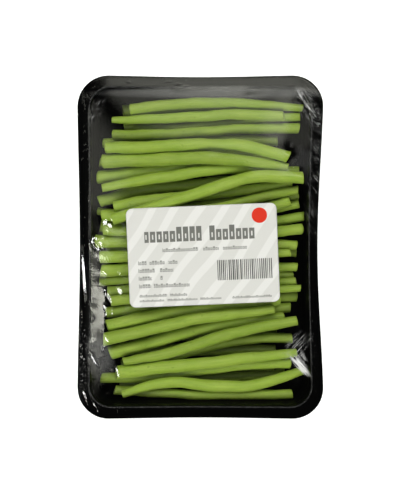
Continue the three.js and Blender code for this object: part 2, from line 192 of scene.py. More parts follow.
def soft_box(name, place, size, brightness, fade=0.0, tint=WHITE):
    """A lamp that looks straight down. Brightness is how bright its face looks; with a fade it is an
    oval that dims over that share of its radius."""
    lamp = bpy.data.lights.new(name, "AREA")
    lamp.shape = "RECTANGLE"
    lamp.size, lamp.size_y = size
    lamp.energy = brightness * math.pi * size[0] * size[1]
    lamp.color = linear(tint)[:3]
    box = bpy.data.objects.new(name, lamp)
    box.location = place
    bpy.context.scene.collection.objects.link(box)
    if fade:
        lamp.use_nodes = True
        tree = lamp.node_tree
        on_face = add(tree, "NewGeometry").outputs["Parametric"]
        centred = add(tree, "Mapping", {0: on_face, "Location": (-1, -1, 0), "Scale": (2, 2, 0)})
        oval = add(tree, "TexGradient", {0: centred}, gradient_type="SPHERICAL").outputs["Fac"]
        soft = add(tree, "MapRange", {"Value": oval, "From Max": fade}, interpolation_type="SMOOTHSTEP")
        tree.links.new(soft.outputs[0], tree.nodes["Emission"].inputs["Strength"])
    return box


for window in WINDOWS:
    soft_box(*window, tint=WARM)
for lamp in GLINT_LAMPS:
    soft_box(*lamp).visible_diffuse = False
for fill in FILLS:
    soft_box(*fill).visible_glossy = False
print("lights:", len(WINDOWS), "windows,", len(GLINT_LAMPS), "glints,", len(FILLS), "fills")

# %% A dim room with a white backdrop
ROOM_GLOW = 0.01

world = bpy.data.worlds.new("room")
world.use_nodes = True
tree = world.node_tree
tree.nodes.clear()
seen = add(tree, "LightPath").outputs["Is Camera Ray"]
backdrop = add(tree, "Background", {"Color": linear(WHITE), "Strength": 1.0})
dim = add(tree, "Background", {"Color": linear(WHITE), "Strength": ROOM_GLOW})
add(tree, "OutputWorld", {"Surface": add(tree, "MixShader", {0: seen, 1: dim, 2: backdrop})})
bpy.context.scene.world = world
bpy.context.scene.view_settings.view_transform = "Standard"

# %% [markdown]
# ## Meshes from grids of points
#
# Every piece here is a skin over rings or rows of points, so one function makes the faces of a grid and
# another the object. Rings close on themselves, rows don't.

# %% Grids, objects and riding on the frame
def grid_faces(rows, columns, closed=False, first=0):
    """Corner numbers of the faces of a grid of points; closed joins its last column to its first."""
    across = columns if closed else columns - 1
    j, i = np.meshgrid(np.arange(rows - 1), np.arange(across), indexing="ij")
    a = j * columns + i
    b = j * columns + (i + 1) % columns
    return (np.stack([a, b, b + columns, a + columns], axis=-1).reshape(-1, 4) + first).tolist()


def new_piece(name, points, faces, materials, slot, *nodes):
    """An object of points in millimetres that stands for the named nodes of the frame."""
    mesh = bpy.data.meshes.new(name)
    mesh.from_pydata((np.asarray(points) * MM).tolist(), [], faces)
    mesh.polygons.foreach_set("use_smooth", [True] * len(mesh.polygons))
    for material in materials:
        mesh.materials.append(material)
    piece = bpy.data.objects.new(name, mesh)
    bpy.context.scene.collection.objects.link(piece)
    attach(piece, "root")
    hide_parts(*nodes)
    return piece


def corner_points(mesh):
    """The number of the point at each corner of a mesh's faces."""
    numbers = np.empty(len(mesh.loops), int)
    mesh.loops.foreach_get("vertex_index", numbers)
    return numbers


def smooth_through(values, count):
    """Values at even steps, read at more even steps along a smooth curve through them."""
    values = np.asarray(values, float)
    ends = [2 * values[0] - values[1]], [2 * values[-1] - values[-2]]
    padded = np.concatenate([ends[0], values, ends[1]])
    at = np.linspace(0, len(values) - 1, count)
    k = np.minimum(at.astype(int), len(values) - 2)
    t = (at - k).reshape((-1,) + (1,) * (values.ndim - 1))
    a, b, c, d = padded[k], padded[k + 1], padded[k + 2], padded[k + 3]
    return b + 0.5 * t * (c - a + t * (2 * a - 5 * b + 4 * c - d + t * (3 * (b - c) + d - a)))


# %% [markdown]
# ## The skin of a bean
#
# A fine bean's skin is smooth and slightly waxy, and lets a little light through. Its green isn't even:
# it is yellower where the pod is full, and darker in fibrous streaks and in small blots, and every bean
# has a tone of its own. The streaks are noise stretched along the pod. The mesh's UV map gives
# millimetres along the pod and the share of the way round it, so every streak follows its bend. Little
# light gets deep into the heap, so shade is painted into the skin there: the lower it lies, the darker.

# %% Bean skin
BEAN_ROUND_MM = 20.0  # about how far it is round a bean
HEAP_FOOT, HEAP_LIT = 6.0, 17.0  # the painted shade is darkest below the first, and there is none above the second

bean_skin, tree = new_material("green_bean_skin")
along_round = add(tree, "Mapping", {"Vector": add(tree, "UVMap"), "Scale": (1, BEAN_ROUND_MM, 1)})
stretched = add(tree, "Mapping", {"Vector": along_round, "Scale": (0.08, 1, 1)})
# Patches of 11 mm, streaks of 0.9 mm by 11 mm and blots of 2 mm. Real fibres are finer.
patches = add(tree, "TexNoise", {"Vector": along_round, "Scale": 0.09, "Detail": 2.0})
streaks = add(tree, "TexNoise", {"Vector": stretched, "Scale": 1.1, "Detail": 3.0})
blots = add(tree, "TexNoise", {"Vector": along_round, "Scale": 0.45, "Detail": 3.0})
greens = {"Factor": patches, 6: linear("#88a633"), 7: linear("#a9bc54")}
tone = add(tree, "Mix", greens, data_type="RGBA").outputs[2]
for pattern, start, end, most, colour in (
    (streaks, 0.35, 0.7, 0.5, "#7f9a36"),
    (blots, 0.62, 0.74, 0.55, "#6f8a26"),
):
    share = add(tree, "MapRange", {"Value": pattern, "From Min": start, "From Max": end, "To Max": most})
    tone = add(tree, "Mix", {"Factor": share, 6: tone, 7: linear(colour)}, data_type="RGBA").outputs[2]
chance = add(tree, "ObjectInfo").outputs["Random"]
own_tone = add(tree, "MapRange", {"Value": chance, "To Min": 0.88, "To Max": 1.1})
# Painted shade: the skin darkens towards the base of the heap, down to 0.4 of its tone.
height = add(tree, "SeparateXYZ", {0: add(tree, "TexCoord").outputs["Object"]}).outputs["Z"]
heap_shade = {"Value": height, "From Min": HEAP_FOOT * MM, "From Max": HEAP_LIT * MM, "To Min": 0.4}
value = add(tree, "Math", {0: own_tone, 1: add(tree, "MapRange", heap_shade)}, operation="MULTIPLY")
toned = add(tree, "HueSaturation", {"Value": value, "Color": tone})
fibre_bump = add(tree, "Bump", {"Strength": 0.25, "Distance": 0.3 * MM, "Height": streaks})
wax = {"Base Color": toned, "Roughness": 0.42, "IOR": 1.45, "Normal": fibre_bump}
flesh = {"Subsurface Weight": 0.3, "Subsurface Radius": (1.0, 1.0, 0.5), "Subsurface Scale": 1.5 * MM}
add(tree, "OutputMaterial", {"Surface": add(tree, "BsdfPrincipled", {**wax, **flesh})})
print("bean skin:", len(tree.nodes), "nodes")

# %% Cut flesh
cut_flesh, tree = new_material("cut_bean_flesh")
grain = add(tree, "TexNoise", {"Scale": 900.0, "Detail": 2.0})  # 0.1 mm, as a share of a bean's length
greens = {"Factor": grain, 6: linear("#8fa64a"), 7: linear("#b3c273")}
pale = add(tree, "Mix", greens, data_type="RGBA").outputs[2]
surface = add(tree, "BsdfPrincipled", {"Base Color": pale, "Roughness": 0.5, "IOR": 1.4})
add(tree, "OutputMaterial", {"Surface": surface})

# %% [markdown]
# ## The beans
#
# Each bean's place, bend and girth are already in the frame, as a coarse tube of rings. The fine bean is a
# loft through the same rings: a smooth curve through their middles, with a rounder section. Real pods
# aren't straight-sided, so the section swells a little over each seed and the whole pod wanders by a
# fraction of a millimetre. Each end is a knife cut, never quite square, with paler flesh inside.

# %% Read a bean's rings from the frame
RING_SIDES = 8


def bean_rings(name):
    """The middles and radii of a bean's rings, from its left end to its right."""
    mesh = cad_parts[name].data
    flat = np.empty(len(mesh.vertices) * 3)
    mesh.vertices.foreach_get("co", flat)
    points = np.unique(np.round(flat.reshape(-1, 3) / MM, 3), axis=0)
    points = points[np.argsort(points[:, 0])]
    # The first and the last ring come with the middle of their cap.
    groups = np.split(points, range(RING_SIDES + 1, len(points) - RING_SIDES, RING_SIDES))
    middles = np.array([group.mean(axis=0) for group in groups])
    radii = [np.linalg.norm(group - middle, axis=1).max() for group, middle in zip(groups, middles)]
    return middles, np.array(radii)


bean_names = sorted(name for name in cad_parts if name.startswith("bean_"))
rings = {name: bean_rings(name) for name in bean_names}
lengths = [np.linalg.norm(middles[-1] - middles[0]) for middles, radii in rings.values()]
print(len(bean_names), "beans,", round(min(lengths)), "to", round(max(lengths)), "mm long")

# %% Loft a fine bean
BEAN_SIDES = 28
BEAN_STATIONS = 88
SKIN_INSET = 0.06  # makes room for the swells
SEED_SPACING = 8.5
SEED_SWELL = 0.13
SEAM_OVAL = 0.035  # how much wider a pod is from seam to seam
WANDER = 0.22
WANDER_WAVES = (23.0, 41.0)
GIRTH_WAVES = ((31, 0.025), (13, 0.012))  # length, and share of the radius
END_FADE = 12.0  # towards the cuts, wander and swells fade over this length
CUT_SLANT = 0.22
CUT_REACH = 4  # stations over which a slanted cut pushes the skin along
CUT_FACE = ((0.93, 0.18), (0.84, 0.2), (0.5, 0.02), (0.12, -0.12))  # share of the radius, and how proud


def bean_surface(middles, radii, draw):
    """Rings of points of one bean with its cut faces, the number of a cut's rings, how far along the
    skin's rings are, and the middle line and girth."""
    centre = smooth_through(middles, BEAN_STATIONS)
    radius = smooth_through(radii, BEAN_STATIONS)
    length = np.linalg.norm(np.diff(centre, axis=0), axis=1).sum()
    run = np.linspace(0, length, BEAN_STATIONS)
    fade = np.clip(np.minimum(run, length - run) / END_FADE, 0, 1)
    for axis in (1, 2):
        for wave in WANDER_WAVES:
            centre[:, axis] += WANDER * 0.5 * fade * np.sin(2 * np.pi * run / wave + draw.uniform(0, 6.28))
    for wave, share in GIRTH_WAVES:
        radius *= 1 + share * np.sin(2 * np.pi * run / wave + draw.uniform(0, 6.28))

    along = np.gradient(centre, axis=0)
    along /= np.linalg.norm(along, axis=1, keepdims=True)
    side = np.cross((0, 0, 1), along)
    side /= np.linalg.norm(side, axis=1, keepdims=True)
    over = np.cross(along, side)

    seam = draw.uniform(0, 2 * np.pi)
    turn = 2 * np.pi * np.arange(BEAN_SIDES) / BEAN_SIDES
    oval = 1 + SEAM_OVAL * np.cos(2 * (turn - seam))
    seeds = 0.5 + 0.5 * np.cos(2 * np.pi * (run / SEED_SPACING + draw.uniform(0, 1)))
    swell = SEED_SWELL * fade[:, None] * seeds[:, None] * np.sin(turn - seam) ** 2
    reach = radius[:, None] * oval - SKIN_INSET + swell
    out = np.cos(turn)[None, :, None] * side[:, None] + np.sin(turn)[None, :, None] * over[:, None]
    skin = centre[:, None] + reach[..., None] * out

    # A slanted cut pushes the last few rings along the bean, more on one side than on the other.
    for end, order in ((0, 1), (BEAN_STATIONS - 1, -1)):
        slant = CUT_SLANT * draw.uniform(-1, 1) * np.cos(turn)
        slant += CUT_SLANT * draw.uniform(-1, 1) * np.sin(turn)
        for step in range(CUT_REACH):
            ring = end + order * step
            push = radius[ring] * slant * (1 - step / CUT_REACH)
            skin[ring] += push[:, None] * along[ring]

    # The cut's edge is a little rounded, and its flesh sinks towards the middle.
    def cut_face(ring, outward):
        middle = skin[ring].mean(axis=0)
        return [middle + shrink * (skin[ring] - middle) + proud * outward for shrink, proud in CUT_FACE]

    left = cut_face(0, -along[0])[::-1]
    right = cut_face(BEAN_STATIONS - 1, along[-1])
    return np.array(left + list(skin) + right), len(left), run, (centre, reach.max(axis=1))


# %% Make the beans
SKIN_SHIFT = 37.0  # millimetres of pattern from one bean to the next, so that no two look alike


def make_bean(name):
    """One bean in place of its node, with a UV map in millimetres along it."""
    number = int(name[-2:])
    points, cut_rings, run, core = bean_surface(*rings[name], np.random.default_rng(number))
    count = len(points)
    faces = grid_faces(count, BEAN_SIDES, closed=True)
    last = (count - 1) * BEAN_SIDES
    faces.append(list(range(BEAN_SIDES))[::-1])
    faces.append([last + k for k in range(BEAN_SIDES)])
    bean = new_piece(name + "_skin", points.reshape(-1, 3), faces, [bean_skin, cut_flesh], "bean_skin", name)

    mesh = bean.data
    cut = np.zeros(len(mesh.polygons), int)
    cut[: (cut_rings - 1) * BEAN_SIDES] = 1
    cut[(count - cut_rings) * BEAN_SIDES :] = 1
    mesh.polygons.foreach_set("material_index", cut)

    # The last face round a ring ends at 1, where its neighbour starts at 0.
    point_at = corner_points(mesh)
    around = point_at % BEAN_SIDES / BEAN_SIDES
    starts = np.empty(len(mesh.polygons), int)
    mesh.polygons.foreach_get("loop_start", starts)
    sizes = np.diff(np.append(starts, len(point_at)))
    widest = np.repeat(np.maximum.reduceat(around, starts), sizes)
    around = around + ((widest > 0.9) & (around < 0.1))
    along = np.concatenate([np.full(cut_rings, run[0]), run, np.full(cut_rings, run[-1])])
    coords = np.stack([along[point_at // BEAN_SIDES] + SKIN_SHIFT * number, around], axis=1)
    mesh.uv_layers.new(name="UVMap").data.foreach_set("uv", coords.ravel())
    return core


bean_cores = [make_bean(name) for name in bean_names]
tops = [(centre[:, 2] + girth).max() for centre, girth in bean_cores]
print("bean tops reach", round(max(tops), 1), "mm")

# %% [markdown]
# ## The outline of the pack
#
# Tray and film share one outline: a rounded rectangle whose sides the stretched film has pulled in. The
# square from -1 to 1 is turned into that outline, drawn in by an inset, so that a ring round the pack is
# the square's edge, and the whole square is a sheet inside it.

# %% The outline as a formula
HALF_WIDTH = 68.3
HALF_LENGTH = 95.0
OUTLINE_CORNER = 18.0
TIGHTENING = 0.8  # how much smaller the corner's radius is for each millimetre further in
LEAST_CORNER = 8.0
FILM_GAP = 0.5  # from the outline to the tray
RIM_WIDTH = 7.0
WALL_DRAFT = 3.5
BOW = {"left": 1.5, "right": 3.6, "far": 1.1, "near": 0.8}


def rounded(u, v, half_x, half_y, corner):
    """Points of the square -1..1 as points of a rounded rectangle."""
    x, y = u * half_x, v * half_y
    s = np.clip((np.abs(x) - half_x + corner) / corner, 0, 1)
    t = np.clip((np.abs(y) - half_y + corner) / corner, 0, 1)
    in_corner = (s > 0) & (t > 0)
    round_x = np.sign(x) * (half_x - corner + corner * s * np.sqrt(1 - t * t / 2))
    round_y = np.sign(y) * (half_y - corner + corner * t * np.sqrt(1 - s * s / 2))
    return np.where(in_corner, round_x, x), np.where(in_corner, round_y, y)


def pull(x, y, inset):
    """What the film's pull leaves of x and y: it is all there at the outline, half at the rim's inner
    edge, and none at the base."""
    rim = FILM_GAP + RIM_WIDTH
    share = 1 - 0.5 * inset / rim if inset < rim else max(0.0, 0.5 * (1 - (inset - rim) / WALL_DRAFT))
    bow_x = np.where(x > 0, BOW["right"], BOW["left"]) * np.cos(np.pi / 2 * y / HALF_LENGTH) ** 2
    bow_y = np.where(y > 0, BOW["far"], BOW["near"]) * np.cos(np.pi / 2 * x / HALF_WIDTH) ** 2
    return 1 - share * bow_x / HALF_WIDTH, 1 - share * bow_y / HALF_LENGTH


def pack_point(u, v, inset):
    """Points of the square -1..1 as x and y on the pack, its edge drawn in by inset."""
    corner = max(OUTLINE_CORNER - TIGHTENING * inset, LEAST_CORNER)
    x, y = rounded(u, v, HALF_WIDTH - inset, HALF_LENGTH - inset, corner)
    left_of_x, left_of_y = pull(x, y, inset)
    return x * left_of_x, y * left_of_y


def square_grid(across, along):
    """The coordinates u and v of a grid over a square, from those of its columns and rows."""
    v, u = np.meshgrid(along, across, indexing="ij")
    return u, v


def even(cells):
    """Coordinates from -1 to 1 at even steps."""
    return np.linspace(-1, 1, cells + 1)


def edge_of(grid):
    """The edge of a grid, once round, anticlockwise from its first corner."""
    return np.concatenate([grid[0, :-1], grid[:-1, -1], grid[-1, :0:-1], grid[:0:-1, 0]])


def pack_ring(edge, inset, z):
    """One ring of points round the pack, at an inset and a height, from the edge of a square's grid."""
    x, y = pack_point(*edge, inset)
    return np.stack([x, y, np.full(len(x), float(z))], axis=1)


TRAY_EDGE = [edge_of(grid) for grid in square_grid(even(132), even(184))]
width = 2 * np.abs(pack_ring(TRAY_EDGE, 0, 0)[:, 0]).max()
print("outline:", round(width, 1), "mm wide,", len(TRAY_EDGE[0]), "points round")

# %% [markdown]
# ## The tray
#
# Such trays are thermoformed from black polypropylene sheet. The rim stays glossy, and the walls, which
# were drawn deep, are duller. The sheet is one skin: floor, walls, a flat flange with a raised inner edge,
# and an outer edge that turns down into a short lip. Its section is swept round the outline, inside and
# outside, which keeps the sheet closed and gives it its thickness.

# %% Black polypropylene
WALL_DULL, RIM_GLOSS = 20.0, 23.5  # below the first it is dull, above the second glossy

black_sheet, tree = new_material("black_polypropylene_sheet")
# As shares of the tray's length: an orange peel of half a millimetre, and unevenness of three.
orange_peel = add(tree, "TexNoise", {"Scale": 400.0, "Detail": 2.0})
uneven = add(tree, "TexNoise", {"Scale": 60.0, "Detail": 3.0})
peel_bump = add(tree, "Bump", {"Strength": 0.12, "Distance": 0.2 * MM, "Height": orange_peel})
height = add(tree, "SeparateXYZ", {0: add(tree, "TexCoord").outputs["Object"]}).outputs["Z"]
wall = {"Value": height, "From Min": WALL_DULL * MM, "From Max": RIM_GLOSS * MM}
drawn = add(tree, "MapRange", {**wall, "To Min": 0.45, "To Max": 0.12})
spread = add(tree, "Math", {0: uneven, 1: 0.06}, operation="MULTIPLY")
rough = add(tree, "Math", {0: drawn, 1: spread}, operation="ADD")
gloss = {"Roughness": rough, "IOR": 1.49, "Specular IOR Level": 0.05, "Normal": peel_bump}
surface = add(tree, "BsdfPrincipled", {"Base Color": linear("#030303"), **gloss})
add(tree, "OutputMaterial", {"Surface": surface})
print("sheet:", len(tree.nodes), "nodes")

# %% Sweep the tray's section
THICK = 0.9
FLOOR_TOP = FILM_GAP + 1.0
WALL_FOOT = RIM_WIDTH + WALL_DRAFT

# From the floor's middle over the rim and back under: an inset from the tray's edge and a height, and
# points from there.
SECTION = [
    (WALL_FOOT, FLOOR_TOP, [(30, 0), (4.5, 0), (2.8, 0.25), (1.2, 1.0), (0.1, 2.2), (-0.9, 4.2)]),
    (RIM_WIDTH, RIM_TOP, [(2.0, -7.0), (0.55, -1.6), (0.3, -0.7), (0, -0.15), (-0.35, 0)]),
    (RIM_WIDTH, RIM_TOP, [(-0.7, -0.06), (-1.1, -0.2)]),
    (0, RIM_TOP, [(1.6, -0.2), (1.1, -0.25), (0.6, -0.5), (0.25, -1.0), (0.06, -1.7), (0, -2.5)]),
    (0, RIM_TOP - 3.5, [(0, 0), (THICK, 0), (THICK, 0.9), (THICK + 0.5, 1.9)]),
    (0, RIM_TOP - 0.5 - THICK, [(THICK + 1.2, 0), (RIM_WIDTH - 1.2, 0)]),
    (RIM_WIDTH, RIM_TOP, [(-0.6, -1.9), (0.9, -7.0)]),
    (WALL_FOOT, FLOOR_TOP, [(-2.0, 3.4), (-0.8, 1.3)]),
    (WALL_FOOT, FLOOR_TOP - THICK, [(0.9, 0.5), (3.2, 0), (30, 0)]),
]
at = [(FILM_GAP + inset + more, z + up) for inset, z, points in SECTION for more, up in points]
tray_rings = [pack_ring(TRAY_EDGE, inset, z) for inset, z in at]
count, around = len(tray_rings), len(TRAY_EDGE[0])
tray_faces = [face[::-1] for face in grid_faces(count, around, closed=True)]
tray_faces.append(list(range(around)))
tray_faces.append([(count - 1) * around + k for k in range(around)][::-1])
tray = new_piece("tray_sheet", np.concatenate(tray_rings), tray_faces, [black_sheet], "tray_plastic", "tray")
print("tray:", len(tray_faces), "faces")

# %% [markdown]
# ## The stretch film, as a membrane
#
# A tight film takes the shape of least area between its edge and what it touches. On a grid, every point
# moves to the mean height of its four neighbours, unless a bean or the rim below pushes it up. A fine grid
# would take thousands of rounds to settle, so each finer grid starts from a coarser one.
#
# Three things are added to that. Air shut in the pack lifts the film a little. At the far rim it clings
# on for a while, as on a shelf. And the cut ends on the left hold it up in a row, like a shoulder.

# %% Net over the pack, and the rim under it
FILM_COLUMNS = 184
FILM_ROWS = 256
FILM_OFF = 0.35  # from the tray or a bean to the film
NET_EDGE = 0.85  # inset at which the net meets the rings that go over the rim
BEAD_INSET = FILM_GAP + RIM_WIDTH - 0.35  # the crest of the rim's inner edge

net_x, net_y = pack_point(*square_grid(even(FILM_COLUMNS), even(FILM_ROWS)), NET_EDGE)


def ramp(values, start, end):
    """0 up to the start, 1 from the end on, and even between them, whichever of the two is higher."""
    return np.clip((values - start) / (end - start), 0, 1)


def beyond_ring(x, y, inset):
    """How far points lie outside the ring at an inset; negative inside."""
    left_of_x, left_of_y = pull(x, y, inset)
    corner = max(OUTLINE_CORNER - TIGHTENING * inset, LEAST_CORNER)
    over_x = np.abs(x / left_of_x) - (HALF_WIDTH - inset - corner)
    over_y = np.abs(y / left_of_y) - (HALF_LENGTH - inset - corner)
    outside = np.hypot(np.maximum(over_x, 0), np.maximum(over_y, 0))
    return outside + np.minimum(np.maximum(over_x, over_y), 0) - corner


past_bead = beyond_ring(net_x, net_y, BEAD_INSET)
rim_drop = np.interp(past_bead, [-0.6, -0.35, 0, 0.35, 0.75, 4.5], [1.0, 0.2, 0, 0, 0.02, 0.03])
print("net:", net_x.shape, "points,", (past_bead > 0).sum(), "over the rim")

# %% What the film lies on and clings to
AIR_PRESS = 0.0002  # how far the air in the pack lifts a point above its neighbours' mean
FAR_AIR = 2.0  # how much more of it there is at the far end
FAR_LEAN = 0.16  # the slope of the film on the far rim
FAR_SHELF, LEFT_SHELF = 0.6, 2.6  # how far it clings on past the bead: at the far end, and more at its left
LEFT_DIP = 0.35  # how deep it sags there
END_SLOPE, END_REACH = 0.21, 9.2  # how it rises to the row of cut ends, and over what distance
FREE = 60.0  # higher than the film can reach

# The far end and its left part begin softly, and so does the row of ends below.
far_share = ramp(net_y, 76, 86)
left_share = far_share * ramp(net_x, -14, -44)
leaning = RIM_WIDTH - 1.3  # the width of the rim that the film leans on
film_rest = RIM_TOP - rim_drop + FILM_OFF
film_rest += FAR_LEAN * far_share * np.clip(leaning - past_bead, 0, leaning)
floor_height = np.where(past_bead < -0.7, 0.0, film_rest)
shelf_width = FAR_SHELF * far_share + LEFT_SHELF * left_share
across = np.clip(-past_bead / np.maximum(shelf_width, 0.01), 0, 1)
shelf_height = RIM_TOP + FILM_OFF + leaning * FAR_LEAN * far_share
shelf_height -= LEFT_DIP * left_share * np.sin(np.pi * across)
cling_height = np.where(past_bead < 0.0, np.where(past_bead > -shelf_width, shelf_height, FREE), film_rest)
air_lift = AIR_PRESS * (1 + FAR_AIR * ramp(net_y, 30, 60))

for centre, girth in bean_cores:
    low = centre.min(axis=0) - girth.max() - 1
    high = centre.max(axis=0) + girth.max() + 1
    near = (net_x > low[0]) & (net_x < high[0]) & (net_y > low[1]) & (net_y < high[1])
    x, y = net_x[near], net_y[near]
    k = np.hypot(x[:, None] - centre[None, :, 0], y[:, None] - centre[None, :, 1]).argmin(axis=1)
    along = np.gradient(centre, axis=0)
    along /= np.linalg.norm(along[:, :2], axis=1, keepdims=True)
    forward = (x - centre[k, 0]) * along[k, 0] + (y - centre[k, 1]) * along[k, 1]
    aside = (y - centre[k, 1]) * along[k, 0] - (x - centre[k, 0]) * along[k, 1]
    reach = girth[k] + FILM_OFF
    end = (k == 0) | (k == len(centre) - 1)
    covers = (np.abs(aside) < reach) & (~end | (np.abs(forward) < 0.8))
    top = centre[k, 2] + forward * along[k, 2] + np.sqrt(np.maximum(reach**2 - aside**2, 0))
    floor_height[near] = np.maximum(floor_height[near], np.where(covers, top, 0))

row_share = ramp(net_y, 24, 8) * ramp(net_y, -72, -54)
on_row = (np.abs(past_bead + END_REACH) < 0.6) & (net_x < -40) & (row_share > 0)
shoulder = RIM_TOP + FILM_OFF + END_SLOPE * END_REACH * row_share
floor_height = np.where(on_row, np.maximum(floor_height, shoulder), floor_height)
print("the film rests on up to", round(floor_height.max(), 1), "mm")

# %% Let the film settle
EDGE_HEIGHT = RIM_TOP - 0.03 + FILM_OFF
ROUNDS = 500


def settle(height, below, above, lift, rounds):
    """Moves every inner point to the mean of its neighbours, but not below what it lies on, nor
    above what it clings to."""
    for _ in range(rounds):
        mean = (height[:-2, 1:-1] + height[2:, 1:-1] + height[1:-1, :-2] + height[1:-1, 2:]) / 4
        lifted = np.minimum(mean + lift[1:-1, 1:-1], above[1:-1, 1:-1])
        height[1:-1, 1:-1] = np.maximum(lifted, below[1:-1, 1:-1])
    return height


def curve_weights(place, count):
    """The four points round each place on a line of points, and their shares in a smooth curve."""
    start = np.clip(np.floor(place).astype(int), 0, count - 2)
    t = place - start
    before, first = (-t + 2 * t**2 - t**3) / 2, (2 - 5 * t**2 + 3 * t**3) / 2
    second, after = (t + 4 * t**2 - 3 * t**3) / 2, (t**3 - t**2) / 2
    return [np.clip(start + k - 1, 0, count - 1) for k in range(4)], [before, first, second, after]


def read_grid(grid, column, row):
    """A grid's values between its points, along smooth curves through them."""
    rows, row_weights = curve_weights(row, grid.shape[0])
    columns, column_weights = curve_weights(column, grid.shape[1])
    return sum(
        grid[r, c] * row_weight * column_weight
        for r, row_weight in zip(rows, row_weights)
        for c, column_weight in zip(columns, column_weights)
    )


def resized(grid, rows, columns):
    """A grid read at another number of even rows and columns."""
    across, along = np.linspace(0, grid.shape[1] - 1, columns), np.linspace(0, grid.shape[0] - 1, rows)
    return read_grid(grid, *square_grid(across, along))


film_height = None
for coarse in (8, 4, 2, 1):
    rows, columns = FILM_ROWS // coarse + 1, FILM_COLUMNS // coarse + 1
    below, above = resized(floor_height, rows, columns), resized(cling_height, rows, columns)
    start = np.full(below.shape, EDGE_HEIGHT) if film_height is None else resized(film_height, rows, columns)
    film_height = np.maximum(start, below)
    film_height[0], film_height[-1], film_height[:, 0], film_height[:, -1] = (EDGE_HEIGHT,) * 4
    lift = resized(air_lift, rows, columns) * coarse**2
    film_height = settle(film_height, below, above, lift, ROUNDS)
print("film top", round(film_height.max(), 2), "mm, lowest inside", round(film_height.min(), 2), "mm")

# %% [markdown]
# ## The label's place
#
# Paper is stiffer than film, so under the label the film follows a smoother surface that only touches the
# highest beans. It is found by blurring the film's height and lifting it to clear the film, a few times
# over. The film is then settled once more over the label's underside.

# %% Smooth the film under the label
LABEL_X, LABEL_Y = 1.4, -4.4
LABEL_WIDTH, LABEL_LENGTH = 82.0, 54.0
LABEL_CORNER = 3.4
LABEL_TURN = math.radians(2.4)
LABEL_MARGIN = 0.5  # how far beyond the paper the film is stiff
LIFTS, LIFT_BLUR, LAST_BLUR = 14, 40, 60  # liftings, and rounds of blur in each and after the last
c, s = math.cos(LABEL_TURN), math.sin(LABEL_TURN)


def blur(grid, rounds):
    """A soft blur of a grid, its edges kept in place by repeating them."""
    for _ in range(rounds):
        wide = np.pad(grid, 1, mode="edge")
        grid = (wide[:-2, 1:-1] + wide[2:, 1:-1] + wide[1:-1, :-2] + wide[1:-1, 2:]) / 8 + grid / 2
    return grid


dx, dy = net_x - LABEL_X, net_y - LABEL_Y
along_width, along_length = dx * c + dy * s, dy * c - dx * s
under_label = np.abs(along_width) < LABEL_WIDTH / 2 + LABEL_MARGIN
under_label &= np.abs(along_length) < LABEL_LENGTH / 2 + LABEL_MARGIN
rows, columns = np.where(under_label)
patch = (slice(rows.min() - 4, rows.max() + 5), slice(columns.min() - 4, columns.max() + 5))
paper_height = film_height[patch].copy()
for _ in range(LIFTS):
    paper_height = np.maximum(blur(paper_height, LIFT_BLUR), film_height[patch])
paper_height = blur(paper_height, LAST_BLUR)
paper_height += max(0.0, (film_height[patch] - paper_height).max())
underside = np.zeros_like(film_height)
underside[patch] = paper_height
floor_height = np.where(under_label, np.maximum(floor_height, underside), floor_height)
film_height = np.where(under_label, underside, film_height)
film_height = np.maximum(film_height, floor_height)
film_height = blur(settle(film_height, floor_height, cling_height, air_lift, 400), 2)
print("label lies at", round(paper_height.min(), 1), "to", round(paper_height.max(), 1), "mm")

# %% [markdown]
# ## Clear stretch film
#
# The film is plasticised PVC or polyethylene, 10 to 20 micrometres thick. It bends no light: what is
# behind it shows unmoved, with a mirror image laid over it. Its two faces mirror twice what one does, and
# one skin stands for both, so its Fresnel share comes from a higher index than plastic's. At the corners
# and along the rims, highlights and a faint haze are painted onto it in white, in slanting streaks.

# %% What the film mirrors
FILM_INDEX = 1.8  # stands for two faces of index 1.5

clear_film, tree = new_material("clear_stretch_film")
mirrored = add(tree, "Fresnel", {"IOR": FILM_INDEX})
outer = add(tree, "Math", {0: 1.0, 1: add(tree, "NewGeometry").outputs["Backfacing"]}, operation="SUBTRACT")
share = add(tree, "Math", {0: mirrored, 1: outer}, operation="MULTIPLY")
ripple = add(tree, "TexNoise", {"Scale": 160.0, "Detail": 2.0})  # 1.2 mm, as a share of the pack's length
ripple_bump = add(tree, "Bump", {"Strength": 0.1, "Distance": 0.3 * MM, "Height": ripple})
gloss = add(tree, "BsdfGlossy", {"Color": linear(WHITE), "Roughness": 0.03, "Normal": ripple_bump})
clear = add(tree, "BsdfTransparent", {"Color": linear("#fdfefd")})
clean_film = add(tree, "MixShader", {0: share, 1: clear, 2: gloss})

# %% Where highlights are painted on it
MARK_HEIGHT = 27.0
MARK_DEPTH = 9.0
STREAK_SPREAD = 0.14  # of the noise, from no painted streak to a full one
